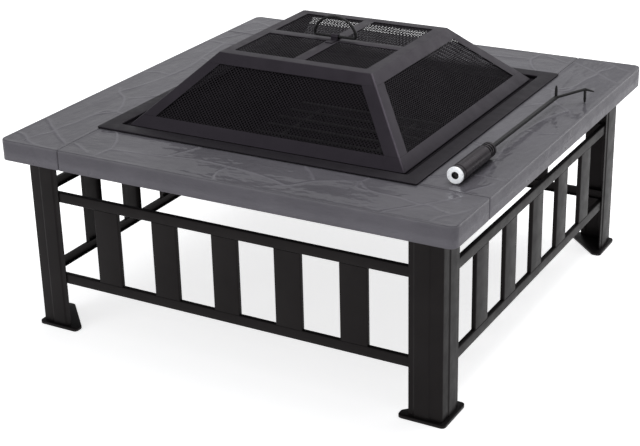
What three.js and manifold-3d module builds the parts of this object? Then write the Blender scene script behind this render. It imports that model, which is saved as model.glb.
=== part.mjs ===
// A square garden fire pit table. Four stamped steel panels make the table top round a
// square fire bowl, four ribbed angle legs stand on corner plates, and a slatted frame
// closes each side. A pyramid-shaped spark screen covers the bowl and a poker lies on
// the right-hand panel.
//
// Millimetres, +Z up, the front edge along -Y. The origin is on the ground, under the
// middle of the table.

import * as THREE from 'three';
import { mergeVertices } from 'three/addons/utils/BufferGeometryUtils.js';
import Module from 'manifold-3d';

const wasm = await Module();
wasm.setup();

// Table top: each panel runs from one outer corner to the edge of its neighbour.
const tableWidth = 860;
const tableHeight = 362;
const openingWidth = 608;
const panelSheet = 1.5;
const skirtDepth = 37;
const innerFlangeDepth = 20;
const panelCornerRadius = 14;
const seamGap = 0.6;

// Legs: a folded angle with a flat rib standing out of each wing.
const legInset = 33;
const legWing = 59;
const legSheet = 2;
const ribStart = 21;
const ribWidth = 24;
const ribSlope = 3;
const ribRise = 1.5;

// Foot plates: a corner plate whose inner corner is cut off.
const footThickness = 6;
const footOverhang = 7;
const footLength = 83;
const footEndWidth = 17;
const footRadius = 8;

// Side frames: two channel rails with upright channel slats between them.
const railHeight = 19;
const railDepth = 8;
const railSheet = 1.5;
const lowerRailBaseHeight = 90;
const upperRailBaseHeight = 246.5;
const railLap = 40;
const slatCount = 5;
const slatPitch = 120;
const slatWidth = 50;
const slatDepth = 7.5;
const slatSheet = 1.5;
const slatSetback = 0.4;
const turnedGap = 0.3;

// Fire bowl: a flat rim on the table top, a seat for the screen, sloping walls, a floor.
const rimOverlap = 5.5;
const rimThickness = 3;
const bowlSheet = 1.5;
const seatDrop = 4;
const seatWidth = 27;
const seatClearance = 7;
const bowlDepth = 98;
const bowlFloorWidth = 400;

// Log grate: round bars on two bearers with four short feet.
const grateBarCount = 7;
const grateBarPitch = 44;
const grateBarDiameter = 8;
const grateBarLength = 300;
const grateBearerSpacing = 200;
const grateFootHeight = 26;

// Spark screen: the frame follows a square pyramid with its top cut off.
const lidFootWidth = 544;
const lidTopWidth = 302;
const lidRise = 119;
const lidSheet = 1.5;
const lidFootBand = 20;
const lidFootFlange = 18;
const lidTopBand = 16;
const lidTopFlange = 20;
const lidStrutWidth = 28;
const crossBarWidth = 22;
const meshSheet = 0.8;
const meshLap = 16;
const meshCornerClearance = 10;

// Handle ring and the strap that holds it.
const ringRodDiameter = 5;
const ringSpan = 84;
const ringRise = 36;
const ringAxisHeight = 6;
const strapWidth = 14;
const strapLength = 50;
const strapSheet = 1.5;
const strapClearance = 0.5;

// Poker: its axis lies level above the right-hand panel.
const pokerX = 360;
const pokerY = -278;
const pokerTurn = -0.8;
const pokerClearance = 0.3;
const capRadius = 14.2;
const capLength = 12;
const capHoleRadius = 6;
const capHoleDepth = 8;
const gripRadius = 14;
const gripLength = 96;
const ferruleRadius = 13.2;
const ferruleLength = 24;
const shaftWidth = 6;
const shaftLength = 292;
const hookDiameter = 5;
const hookProngHeight = 22;
const hookReachX = 40;
const hookReachY = 34;
const hookRise = 10;
const hookTipLength = 17;
const hookTipDrop = 2;

// How far a cutting shape runs past what it cuts.
const cutMargin = 1;

// Worked out from the sizes above.
const half = tableWidth / 2;
const openHalf = openingWidth / 2;
const legFace = half - legInset;
const railFace = legFace - legSheet - turnedGap;
const railReach = legFace - legWing + railLap;
const footFace = legFace + footOverhang;
const rimHalf = openHalf + rimOverlap;
const lidFootHalf = lidFootWidth / 2;
const lidTopHalf = lidTopWidth / 2;
const stepHalf = lidFootHalf + seatClearance;
const seatHalf = stepHalf - seatWidth;
const seatZ = tableHeight - seatDrop;
const bowlFloorZ = tableHeight - bowlDepth;
const lidSlope = (lidFootHalf - lidTopHalf) / lidRise;
const lidTopZ = seatZ + lidRise;
const bandTopZ = seatZ + lidFootBand;
const skirtBottomZ = lidTopZ - lidTopBand;

const sideNames = ['front', 'right', 'back', 'left'];
const cornerNames = ['front_left', 'front_right', 'back_right', 'back_left'];

// Materials, one object per look.
const finishes = {
  slate: { color: 0x6c6c71, roughness: 0.42, metalness: 0.25 },
  blackPaint: { color: 0x262526, roughness: 0.5, metalness: 0.3 },
  bowlPaint: { color: 0x303032, roughness: 0.55, metalness: 0.3 },
  screenPaint: { color: 0x3a3a3c, roughness: 0.5, metalness: 0.3 },
  mesh: { color: 0x1e1d1f, roughness: 0.65, metalness: 0.4 },
  castBlack: { color: 0x1d1d1e, roughness: 0.7, metalness: 0.3 },
  grip: { color: 0x4a494c, roughness: 0.45, metalness: 0.2 },
  chrome: { color: 0xd5d8dc, roughness: 0.18, metalness: 1.0 },
};

// Closed mesh to solid and back, for joining and cutting.
function toSolid(geometry) {
  const bare = geometry.clone();
  bare.deleteAttribute('normal');
  bare.deleteAttribute('uv');
  const merged = mergeVertices(bare, 1e-4);
  const index = merged.getIndex().array;
  const kept = [];
  for (let i = 0; i < index.length; i += 3) {
    const [a, b, c] = [index[i], index[i + 1], index[i + 2]];
    if (a !== b && b !== c && c !== a) kept.push(a, b, c);
  }
  const mesh = new wasm.Mesh({
    numProp: 3,
    vertProperties: new Float32Array(merged.getAttribute('position').array),
    triVerts: new Uint32Array(kept),
  });
  return new wasm.Manifold(mesh);
}

function toGeometry(solid) {
  const mesh = solid.getMesh();
  const geometry = new THREE.BufferGeometry();
  const positions = new Float32Array(mesh.vertProperties);
  geometry.setAttribute('position', new THREE.BufferAttribute(positions, 3));
  geometry.setIndex(new THREE.BufferAttribute(new Uint32Array(mesh.triVerts), 1));
  return geometry;
}

// A box between two corners.
function boxBetween(low, high) {
  const size = high.map((value, axis) => value - low[axis]);
  const geometry = new THREE.BoxGeometry(size[0], size[1], size[2]);
  geometry.translate(
    (low[0] + high[0]) / 2,
    (low[1] + high[1]) / 2,
    (low[2] + high[2]) / 2,
  );
  return geometry;
}

// A profile of [half width, height] points carried round a square about the Z axis.
function squareTurn(profile) {
  const points = profile.map(([x, z]) => new THREE.Vector2(x * Math.SQRT2, z));
  const geometry = new THREE.LatheGeometry(points, 4);
  geometry.rotateY(Math.PI / 4);
  geometry.rotateX(Math.PI / 2);
  return geometry;
}

function closedSquareTurn(profile) {
  return squareTurn([...profile, profile[0]]);
}

function extrude(shape, depth, curveSegments = 6) {
  return new THREE.ExtrudeGeometry(shape, { depth, bevelEnabled: false, curveSegments });
}

function polygon(points) {
  return new THREE.Shape(points.map(([x, y]) => new THREE.Vector2(x, y)));
}

// A polygon with every corner rounded.
function roundedPolygon(points, radius) {
  const shape = new THREE.Shape();
  const count = points.length;
  for (let i = 0; i < count; i += 1) {
    const corner = new THREE.Vector2(...points[i]);
    const before = new THREE.Vector2(...points[(i + count - 1) % count]);
    const after = new THREE.Vector2(...points[(i + 1) % count]);
    const inward = before.sub(corner).setLength(radius).add(corner);
    const outward = after.sub(corner).setLength(radius).add(corner);
    if (i === 0) shape.moveTo(inward.x, inward.y);
    else shape.lineTo(inward.x, inward.y);
    shape.quadraticCurveTo(corner.x, corner.y, outward.x, outward.y);
  }
  shape.closePath();
  return shape;
}

// A channel section: the web lies along X at y = 0 and both flanges point to +Y.
function channelShape(width, depth, sheet) {
  const w = width / 2;
  return polygon([
    [-w, 0],
    [w, 0],
    [w, depth],
    [w - sheet, depth],
    [w - sheet, sheet],
    [-w + sheet, sheet],
    [-w + sheet, depth],
    [-w, depth],
  ]);
}

function rod(from, to, diameter, sides = 10) {
  const start = new THREE.Vector3(...from);
  const along = new THREE.Vector3(...to).sub(start);
  const length = along.length();
  const geometry = new THREE.CylinderGeometry(diameter / 2, diameter / 2, length, sides);
  geometry.translate(0, length / 2, 0);
  const up = new THREE.Vector3(0, 1, 0);
  const turn = new THREE.Quaternion().setFromUnitVectors(up, along.normalize());
  geometry.applyQuaternion(turn);
  geometry.translate(start.x, start.y, start.z);
  return geometry;
}

function ball(centre, diameter) {
  const geometry = new THREE.SphereGeometry(diameter / 2, 10, 8);
  geometry.translate(...centre);
  return geometry;
}

function joined(geometries) {
  const solids = geometries.map(toSolid);
  return toGeometry(solids.reduce((whole, solid) => whole.add(solid)));
}

const firePit = new THREE.Group();

function addPiece(parent, name, geometry, finish) {
  const mesh = new THREE.Mesh(geometry, new THREE.MeshStandardMaterial(finishes[finish]));
  mesh.name = name;
  parent.add(mesh);
  return mesh;
}

// One group per side, turned about the middle of the table.
const sides = sideNames.map((name, turn) => {
  const group = new THREE.Group();
  group.rotation.z = (turn * Math.PI) / 2;
  firePit.add(group);
  return group;
});

// Table panels

function panelOutline(left, right, front, back, radius) {
  const shape = new THREE.Shape();
  shape.moveTo(left, front);
  shape.lineTo(right - radius, front);
  shape.absarc(right - radius, front + radius, radius, -Math.PI / 2, 0, false);
  shape.lineTo(right, back);
  shape.lineTo(left, back);
  shape.closePath();
  return shape;
}

function tablePanel() {
  const left = -openHalf + seamGap;
  const back = -openHalf;
  const insideRight = half - panelSheet;
  const insideFront = -half + panelSheet;
  const insideRadius = panelCornerRadius - panelSheet;
  const outside = extrude(panelOutline(left, half, -half, back, panelCornerRadius), skirtDepth);
  outside.translate(0, 0, tableHeight - skirtDepth);
  const hollow = extrude(
    panelOutline(
      left + panelSheet, insideRight, insideFront, back - panelSheet, insideRadius,
    ),
    skirtDepth,
  );
  hollow.translate(0, 0, tableHeight - panelSheet - skirtDepth);
  const flangeTrim = extrude(
    panelOutline(
      left - cutMargin, insideRight, insideFront, back + cutMargin, insideRadius,
    ),
    skirtDepth,
  );
  flangeTrim.translate(0, 0, tableHeight - innerFlangeDepth - skirtDepth);
  return toGeometry(toSolid(outside).subtract(toSolid(hollow)).subtract(toSolid(flangeTrim)));
}

const panelGeometry = tablePanel();
sides.forEach((side, i) => {
  addPiece(side, `table_panel_${sideNames[i]}`, panelGeometry, 'slate');
});

// Legs and foot plates, drawn in the front left corner

function legOutline() {
  const ribEnd = ribStart + ribSlope + ribWidth + ribSlope;
  const outer = [
    [ribStart, 0],
    [ribStart + ribSlope, -ribRise],
    [ribEnd - ribSlope, -ribRise],
    [ribEnd, 0],
    [legWing, 0],
  ];
  const inner = outer.map(([a, b]) => [a, b + legSheet]).reverse();
  const alongX = [...outer, ...inner];
  const alongY = [...alongX].reverse().map(([a, b]) => [b, a]);
  return [[0, 0], ...alongX, [legSheet, legSheet], ...alongY];
}

function leg() {
  const corner = legOutline().map(([a, b]) => [a - legFace, b - legFace]);
  const top = tableHeight - panelSheet;
  const geometry = extrude(polygon(corner), top - footThickness);
  geometry.translate(0, 0, footThickness);
  return geometry;
}

function footPlate() {
  const corners = [
    [0, 0],
    [footLength, 0],
    [footLength, footEndWidth],
    [footEndWidth, footLength],
    [0, footLength],
  ].map(([a, b]) => [a - footFace, b - footFace]);
  return extrude(roundedPolygon(corners, footRadius), footThickness, 4);
}

const legGeometry = leg();
const footGeometry = footPlate();
sides.forEach((side, i) => {
  addPiece(side, `leg_${cornerNames[i]}`, legGeometry, 'blackPaint');
  addPiece(side, `foot_plate_${cornerNames[i]}`, footGeometry, 'blackPaint');
});

// Side frames

function rail(underside) {
  const geometry = extrude(channelShape(railHeight, railDepth, railSheet), 2 * railReach);
  const axes = new THREE.Matrix4().makeBasis(
    new THREE.Vector3(0, 0, 1),
    new THREE.Vector3(0, 1, 0),
    new THREE.Vector3(-1, 0, 0),
  );
  geometry.applyMatrix4(axes);
  geometry.translate(railReach, -railFace, underside + railHeight / 2);
  return geometry;
}

function slat(x) {
  const bottom = lowerRailBaseHeight + railHeight;
  const geometry = extrude(
    channelShape(slatWidth, slatDepth, slatSheet),
    upperRailBaseHeight - bottom,
  );
  geometry.translate(x, slatSetback - railFace, bottom);
  return geometry;
}

sides.forEach((side, i) => {
  addPiece(side, `${sideNames[i]}_rail_lower`, rail(lowerRailBaseHeight), 'blackPaint');
  addPiece(side, `${sideNames[i]}_rail_upper`, rail(upperRailBaseHeight), 'blackPaint');
  for (let n = 0; n < slatCount; n += 1) {
    const x = (n - (slatCount - 1) / 2) * slatPitch;
    addPiece(side, `${sideNames[i]}_slat_${n + 1}`, slat(x), 'blackPaint');
  }
});

// Fire bowl

const floorHalf = bowlFloorWidth / 2;
const bowlGeometry = squareTurn([
  [0, bowlFloorZ - bowlSheet],
  [floorHalf + bowlSheet, bowlFloorZ - bowlSheet],
  [seatHalf + bowlSheet, seatZ - bowlSheet],
  [stepHalf + bowlSheet, seatZ - bowlSheet],
  [stepHalf + bowlSheet, tableHeight],
  [rimHalf, tableHeight],
  [rimHalf, tableHeight + rimThickness],
  [stepHalf, tableHeight + rimThickness],
  [stepHalf, seatZ],
  [seatHalf, seatZ],
  [floorHalf, bowlFloorZ],
  [0, bowlFloorZ],
]);
addPiece(firePit, 'fire_bowl', bowlGeometry, 'bowlPaint');

// Log grate

function logGrate() {
  const barRadius = grateBarDiameter / 2;
  const bearerZ = bowlFloorZ + grateFootHeight;
  const barZ = bearerZ + barRadius;
  const span = ((grateBarCount - 1) / 2) * grateBarPitch;
  const rods = [];
  for (const side of [-1, 1]) {
    const x = (side * grateBearerSpacing) / 2;
    rods.push(rod([x, -span, bearerZ], [x, span, bearerZ], grateBarDiameter, 8));
    for (const end of [-1, 1]) {
      const y = end * (span - barRadius);
      rods.push(rod([x, y, bowlFloorZ], [x, y, bearerZ], grateBarDiameter, 8));
    }
  }
  for (let n = 0; n < grateBarCount; n += 1) {
    const y = n * grateBarPitch - span;
    const reach = grateBarLength / 2;
    rods.push(rod([-reach, y, barZ], [reach, y, barZ], grateBarDiameter, 8));
  }
  return joined(rods);
}

addPiece(firePit, 'log_grate', logGrate(), 'castBlack');

// Spark screen

// Half width of the screen's outer face at a height, less a depth square to that face.
function lidHalf(z, depth = 0) {
  const face = lidFootHalf - (z - seatZ) * lidSlope;
  return face - depth * Math.hypot(1, lidSlope);
}

const footRing = closedSquareTurn([
  [lidHalf(seatZ), seatZ],
  [lidHalf(bandTopZ), bandTopZ],
  [lidHalf(bandTopZ, lidSheet), bandTopZ],
  [lidHalf(seatZ + lidSheet, lidSheet), seatZ + lidSheet],
  [lidFootHalf - lidFootFlange, seatZ + lidSheet],
  [lidFootHalf - lidFootFlange, seatZ],
]);
addPiece(firePit, 'screen_foot_frame', footRing, 'screenPaint');

const topRing = closedSquareTurn([
  [lidHalf(skirtBottomZ), skirtBottomZ],
  [lidTopHalf, lidTopZ],
  [lidTopHalf - lidTopFlange, lidTopZ],
  [lidTopHalf - lidTopFlange, lidTopZ - lidSheet],
  [lidHalf(lidTopZ - lidSheet, lidSheet), lidTopZ - lidSheet],
  [lidHalf(skirtBottomZ, lidSheet), skirtBottomZ],
]);
addPiece(firePit, 'screen_top_frame', topRing, 'screenPaint');

// A thin square pyramid skin between two heights and two depths below the outer face.
function lidSkin(lowZ, highZ, outerDepth, innerDepth) {
  return toSolid(closedSquareTurn([
    [lidHalf(lowZ, outerDepth), lowZ],
    [lidHalf(highZ, outerDepth), highZ],
    [lidHalf(highZ, innerDepth), highZ],
    [lidHalf(lowZ, innerDepth), lowZ],
  ]));
}

// A trapezium in the front view that stays a fixed distance in from the sloping corners.
function lidWindow(lowZ, highZ, inset, reach) {
  const low = lidHalf(lowZ) - inset;
  const high = lidHalf(highZ) - inset;
  const outline = polygon([[-low, lowZ], [low, lowZ], [high, highZ], [-high, highZ]]);
  const geometry = extrude(outline, reach);
  const axes = new THREE.Matrix4().makeBasis(
    new THREE.Vector3(1, 0, 0),
    new THREE.Vector3(0, 0, 1),
    new THREE.Vector3(0, -1, 0),
  );
  return geometry.applyMatrix4(axes);
}

function lidStruts() {
  const through = lidWindow(
    bandTopZ - cutMargin, skirtBottomZ + cutMargin, lidStrutWidth, 2 * tableWidth,
  );
  through.translate(0, tableWidth, 0);
  const across = through.clone().rotateZ(Math.PI / 2);
  const corners = lidSkin(bandTopZ, skirtBottomZ, 0, lidSheet)
    .subtract(toSolid(through))
    .subtract(toSolid(across));
  const quarters = [[-1, -1], [1, -1], [1, 1], [-1, 1]];
  return quarters.map(([x, y]) => {
    const low = [Math.min(0, x * half), Math.min(0, y * half), 0];
    const high = [Math.max(0, x * half), Math.max(0, y * half), 2 * lidTopZ];
    return toGeometry(corners.intersect(toSolid(boxBetween(low, high))));
  });
}

lidStruts().forEach((geometry, i) => {
  addPiece(firePit, `screen_strut_${cornerNames[i]}`, geometry, 'screenPaint');
});

function sideMesh() {
  const lowZ = bandTopZ - meshLap;
  const highZ = skirtBottomZ + meshLap / 2;
  const outerDepth = lidSheet + turnedGap;
  const skin = lidSkin(lowZ, highZ, outerDepth, outerDepth + meshSheet);
  const front = lidWindow(lowZ - cutMargin, highZ + cutMargin, meshCornerClearance, half);
  return toGeometry(skin.intersect(toSolid(front)));
}

const sideMeshGeometry = sideMesh();
sides.forEach((side, i) => {
  addPiece(side, `screen_mesh_${sideNames[i]}`, sideMeshGeometry, 'mesh');
});

const topMeshTop = lidTopZ - lidSheet;
const topMeshHalf = lidHalf(topMeshTop, lidSheet) - turnedGap;
const topMesh = boxBetween(
  [-topMeshHalf, -topMeshHalf, topMeshTop - meshSheet],
  [topMeshHalf, topMeshHalf, topMeshTop],
);
addPiece(firePit, 'screen_mesh_top', topMesh, 'mesh');

const barReach = lidTopHalf - lidTopFlange;
const crossBars = joined([
  boxBetween([-barReach, -crossBarWidth / 2, topMeshTop], [barReach, crossBarWidth / 2, lidTopZ]),
  boxBetween([-crossBarWidth / 2, -barReach, topMeshTop], [crossBarWidth / 2, barReach, lidTopZ]),
]);
addPiece(firePit, 'screen_cross_bars', crossBars, 'screenPaint');

// Handle ring: a half ellipse of round rod closed by a straight rod that turns in a strap.

class HalfEllipse extends THREE.Curve {
  getPoint(t, target = new THREE.Vector3()) {
    const angle = Math.PI * t;
    return target.set(-Math.cos(angle) * (ringSpan / 2), 0, Math.sin(angle) * ringRise);
  }
}

const ringAxisZ = lidTopZ + ringAxisHeight;

function handleRing() {
  const section = new THREE.Shape();
  section.absarc(0, 0, ringRodDiameter / 2, 0, 2 * Math.PI, false);
  const arch = new THREE.ExtrudeGeometry(section, {
    steps: 28,
    curveSegments: 6,
    extrudePath: new HalfEllipse(),
  });
  const end = ringSpan / 2;
  return joined([
    arch,
    rod([-end, 0, 0], [end, 0, 0], ringRodDiameter, 12),
    ball([-end, 0, 0], ringRodDiameter),
    ball([end, 0, 0], ringRodDiameter),
  ]);
}

const ring = addPiece(firePit, 'handle_ring', handleRing(), 'castBlack');
ring.position.z = ringAxisZ;

function handleStrap() {
  const inner = ringRodDiameter / 2 + strapClearance;
  const outer = inner + strapSheet;
  const reach = strapLength / 2;
  const shape = new THREE.Shape();
  shape.moveTo(-reach, 0);
  shape.lineTo(-inner, 0);
  shape.lineTo(-inner, ringAxisHeight);
  shape.absarc(0, ringAxisHeight, inner, Math.PI, 0, true);
  shape.lineTo(inner, 0);
  shape.lineTo(reach, 0);
  shape.lineTo(reach, strapSheet);
  shape.lineTo(outer, strapSheet);
  shape.lineTo(outer, ringAxisHeight);
  shape.absarc(0, ringAxisHeight, outer, 0, Math.PI, false);
  shape.lineTo(-outer, strapSheet);
  shape.lineTo(-reach, strapSheet);
  shape.closePath();
  const geometry = extrude(shape, strapWidth, 8);
  const axes = new THREE.Matrix4().makeBasis(
    new THREE.Vector3(0, 1, 0),
    new THREE.Vector3(0, 0, 1),
    new THREE.Vector3(1, 0, 0),
  );
  return geometry.applyMatrix4(axes).translate(-strapWidth / 2, 0, 0);
}

const strap = addPiece(firePit, 'handle_strap', handleStrap(), 'screenPaint');
strap.position.z = lidTopZ;

// Poker, drawn along +Y from its end cap

const poker = new THREE.Group();
poker.position.set(pokerX, pokerY, tableHeight + capRadius + pokerClearance);
poker.rotation.z = THREE.MathUtils.degToRad(pokerTurn);
firePit.add(poker);

function turnedAlongY(profile) {
  const points = profile.map(([radius, y]) => new THREE.Vector2(radius, y));
  return new THREE.LatheGeometry(points, 24);
}

const endCap = turnedAlongY([
  [0, capHoleDepth],
  [capHoleRadius, capHoleDepth],
  [capHoleRadius, 0],
  [capRadius, 0],
  [capRadius, capLength],
  [0, capLength],
]);
addPiece(poker, 'poker_end_cap', endCap, 'chrome');

const gripEnd = capLength + gripLength;
const ferruleEnd = gripEnd + ferruleLength;
const grip = turnedAlongY([
  [0, capLength],
  [gripRadius, capLength],
  [gripRadius, gripEnd],
  [ferruleRadius, gripEnd],
  [ferruleRadius, ferruleEnd],
  [0, ferruleEnd],
]);
addPiece(poker, 'poker_grip', grip, 'grip');

function pokerShaft() {
  const tipY = ferruleEnd + shaftLength;
  const w = shaftWidth / 2;
  const fork = [hookReachX, tipY + hookReachY, hookRise];
  const tip = [fork[0] + hookTipLength, fork[1], fork[2] - hookTipDrop];
  const toe = [fork[0], fork[1], -capRadius];
  const start = [0, tipY - w, 0];
  return joined([
    boxBetween([-w, ferruleEnd, -w], [w, tipY, w]),
    rod(start, [0, tipY - w, hookProngHeight], hookDiameter, 8),
    rod(start, fork, hookDiameter, 8),
    ball(fork, hookDiameter),
    rod(fork, tip, hookDiameter, 8),
    rod(fork, toe, hookDiameter, 8),
  ]);
}

addPiece(poker, 'poker_shaft', pokerShaft(), 'castBlack');

export default firePit;
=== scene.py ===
"""A square fire pit table with a spark screen, a log grate and a poker.

The sheet-metal pieces, the rods and the woven wire are built here in the place
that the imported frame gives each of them. Lengths are in metres, +Z is up and the
front edge of the table runs along -Y.
"""

import math

import bmesh
import bpy
import numpy as np
from bpy.props import FloatProperty, FloatVectorProperty, IntProperty, PointerProperty
from bpy.types import Operator, Panel, PropertyGroup
from mathutils import Matrix, Vector, noise
from mathutils.geometry import delaunay_2d_cdt


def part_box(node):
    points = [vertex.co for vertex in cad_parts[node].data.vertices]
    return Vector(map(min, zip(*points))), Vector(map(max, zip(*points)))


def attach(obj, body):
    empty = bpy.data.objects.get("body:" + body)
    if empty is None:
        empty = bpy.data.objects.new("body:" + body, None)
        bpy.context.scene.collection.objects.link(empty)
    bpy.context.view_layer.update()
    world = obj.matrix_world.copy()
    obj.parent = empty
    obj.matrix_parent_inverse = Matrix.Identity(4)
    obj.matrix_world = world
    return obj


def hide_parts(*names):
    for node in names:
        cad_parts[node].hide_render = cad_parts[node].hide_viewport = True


bl_info = {
    "name": "Fire Pit Table",
    "version": (1, 0, 0),
    "blender": (4, 5, 0),
    "location": "View3D > Sidebar > Fire Pit",
    "description": "Builds a square fire pit table with a spark screen and a poker",
    "category": "Add Mesh",
}

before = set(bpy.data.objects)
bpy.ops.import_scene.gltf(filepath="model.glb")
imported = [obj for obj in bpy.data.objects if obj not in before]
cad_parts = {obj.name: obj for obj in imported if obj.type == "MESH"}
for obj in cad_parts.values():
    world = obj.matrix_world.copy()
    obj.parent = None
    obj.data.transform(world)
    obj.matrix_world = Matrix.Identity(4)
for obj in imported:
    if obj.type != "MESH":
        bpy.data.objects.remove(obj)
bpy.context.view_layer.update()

SIDES = ("front", "right", "back", "left")
CORNERS = ("front_left", "front_right", "back_right", "back_left")
MM = 0.001

# The raised joints between the slate courses stamped in each panel, in millimetres
# in the front panel's place. Every panel carries the same pattern.
SLATE_JOINTS = (
    ((385, -428), (392, -405), (412, -379), (421, -362), (428, -340)),
    ((305, -425), (311, -417), (330, -395), (352, -369), (376, -339), (396, -311)),
    ((399, -386), (379, -380), (364, -371), (336, -371), (303, -363), (253, -357),
     (222, -331)),
    ((110, -405), (128, -394), (157, -361), (197, -339), (222, -329), (228, -310)),
    ((249, -360), (228, -354), (219, -334)),
    ((-232, -428), (-227, -398), (-225, -381), (-240, -346), (-267, -309)),
    ((113, -313), (130, -329), (151, -353)),
    ((-308, -383), (-280, -397), (-250, -414)),
    ((-226, -385), (-140, -375), (-60, -362), (20, -368), (80, -380), (125, -396)),
    ((-120, -373), (-104, -340), (-92, -308)),
    ((10, -428), (-4, -398), (0, -367)),
)


# Settings that a user may change


def length(name, description, value, least=0.0005):
    """A length that a user may set."""
    return FloatProperty(name=name, description=description, default=value, min=least,
                         precision=4, unit="LENGTH")


def paint(name, description, value):
    """A colour that a user may set."""
    return FloatVectorProperty(name=name, description=description, default=value,
                               subtype="COLOR", min=0.0, max=1.0)


class FirePitSizes(PropertyGroup):
    """Sheet thicknesses, bends, rods and wire."""

    panel_sheet: length("Panel sheet", "Thickness of the stamped table panels", 0.0015)
    panel_fold: length("Panel fold", "Outer radius of the fold round each panel", 0.002, 0.0016)
    slate_rise: length("Slate rise", "Height of the stamped slate pattern", 0.0013, 0.0)
    leg_sheet: length("Leg sheet", "Thickness of the folded legs", 0.002)
    frame_sheet: length("Side frame sheet", "Thickness of the rails and slats", 0.0015)
    frame_bend: length(
        "Side frame bend", "Outer bend radius of the rails and slats", 0.0022, 0.0016)
    bowl_sheet: length("Bowl sheet", "Thickness of the pressed fire bowl", 0.0015)
    screen_sheet: length("Screen sheet", "Thickness of the spark screen's frame", 0.0015)
    wire_pitch: length("Wire pitch", "Distance between the screen's wires", 0.0048, 0.003)
    wire_width: length("Wire width", "Width of one flattened wire of the screen", 0.0014, 0.0003)
    wire_thickness: length("Wire thickness", "Thickness of one flattened wire", 0.0004, 0.0001)
    grate_bar: length("Grate bar", "Diameter of the log grate's round bars", 0.008, 0.003)
    ring_rod: length("Ring rod", "Diameter of the screen's handle ring", 0.005, 0.002)
    ferrule_ribs: IntProperty(
        name="Ferrule ribs", description="Number of ribs round the poker's ferrule",
        default=3, min=1, max=9)


class FirePitColours(PropertyGroup):
    """The paint and metal colours."""

    slate: paint("Slate paint", "Paint on the stamped table panels", (0.111, 0.106, 0.120))
    black: paint(
        "Black paint", "Paint on the legs, plates, rails and slats", (0.0088, 0.0079, 0.0080))
    bowl: paint("Bowl paint", "Heat-proof paint on the fire bowl", (0.0105, 0.0091, 0.0112))
    screen: paint("Screen paint", "Paint on the spark screen's frame", (0.0195, 0.0168, 0.0208))
    wire: paint("Wire paint", "Paint on the woven wire", (0.0215, 0.0190, 0.0222))
    rods: paint(
        "Rod paint", "Matt paint on the grate, ring and poker rods", (0.014, 0.0135, 0.014))
    grip: paint("Grip", "Lacquer on the poker's grip and ferrule", (0.020, 0.0170, 0.0195))
    chrome: paint("Chrome", "Bright plating on the poker's end cap", (0.90, 0.92, 0.95))


# Node trees


def fill_sockets(tree, node, sockets):
    """Fills a node's sockets. One given another node's output is linked to it, and any
    other value becomes the socket's own."""
    for key, value in sockets.items():
        if isinstance(value, bpy.types.NodeSocket):
            tree.links.new(value, node.inputs[key])
        else:
            node.inputs[key].default_value = value


def add_node(tree, kind, sockets, out=0, **options):
    """Adds a node, fills its sockets and returns one of its outputs."""
    node = tree.nodes.new(kind)
    for option, value in options.items():
        setattr(node, option, value)
    fill_sockets(tree, node, sockets)
    return node.outputs[out]


def open_tree(name, **inputs):
    """A new Geometry Nodes tree and the sockets that bring its named inputs."""
    tree = bpy.data.node_groups.new(name, "GeometryNodeTree")
    for label, kind in inputs.items():
        tree.interface.new_socket(label, in_out="INPUT", socket_type="NodeSocket" + kind)
    tree.interface.new_socket("Geometry", in_out="OUTPUT", socket_type="NodeSocketGeometry")
    return tree, tree.nodes.new("NodeGroupInput").outputs


def close_tree(tree, geometry):
    """Ends a tree, with its instances made real."""
    real = add_node(tree, "GeometryNodeRealizeInstances", {0: geometry})
    tree.links.new(real, tree.nodes.new("NodeGroupOutput").inputs[0])
    return tree


def row_tree(name):
    """Repeats the starting piece in a row, then turns the row about the table's middle."""
    tree, given = open_tree(name, Piece="Geometry", Count="Int", Start="Vector",
                            Step="Vector", Turn="Vector")
    line = add_node(tree, "GeometryNodeMeshLine", {
        0: given["Count"], 2: given["Start"], 3: given["Step"]})
    row = add_node(tree, "GeometryNodeInstanceOnPoints", {0: line, 2: given["Piece"]})
    turn = add_node(tree, "GeometryNodeTransform", {0: row, 2: given["Turn"]})
    return close_tree(tree, turn)


def rod_tree(name):
    """Bends round rod along the starting edges. The edges' own taper thins the tips."""
    tree, given = open_tree(name, Path="Geometry", Diameter="Float", Sides="Int")
    path = add_node(tree, "GeometryNodeMeshToCurve", {0: given["Path"]})
    radius = add_node(tree, "ShaderNodeMath", {0: given["Diameter"], 1: 0.5},
                      operation="MULTIPLY")
    section = add_node(tree, "GeometryNodeCurvePrimitiveCircle", {
        0: given["Sides"], 4: radius})
    taper = add_node(tree, "GeometryNodeInputNamedAttribute", {0: "taper"},
                     data_type="FLOAT")
    rod = add_node(tree, "GeometryNodeCurveToMesh", {
        0: path, 1: section, 2: taper, 3: True})
    return close_tree(tree, rod)


def weave_tree(name):
    """Turns flat crossing paths into flattened wire, tilts it and sets it in its frame."""
    tree, given = open_tree(name, Paths="Geometry", Width="Float", Thickness="Float",
                            Tilt="Vector", Place="Vector", Turn="Vector")
    paths = add_node(tree, "GeometryNodeMeshToCurve", {0: given["Paths"]})
    level = add_node(tree, "GeometryNodeSetCurveNormal", {0: paths}, mode="Z_UP")
    section = add_node(tree, "GeometryNodeCurvePrimitiveQuadrilateral", {
        0: given["Width"], 1: given["Thickness"]}, mode="RECTANGLE")
    wire = add_node(tree, "GeometryNodeCurveToMesh", {0: level, 1: section, 3: True})
    tilt = add_node(tree, "GeometryNodeTransform", {
        0: wire, 1: given["Place"], 2: given["Tilt"]})
    turn = add_node(tree, "GeometryNodeTransform", {0: tilt, 2: given["Turn"]})
    return close_tree(tree, turn)


TREES = {"Row of pieces": row_tree, "Bent rod": rod_tree, "Woven wire": weave_tree}


def node_tree(name):
    """The named tree, built the first time it is asked for."""
    return bpy.data.node_groups.get(name) or TREES[name](name)


# Finishes


def table_height():
    """The height of the table's flat top."""
    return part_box("table_panel_front")[1].z


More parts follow.
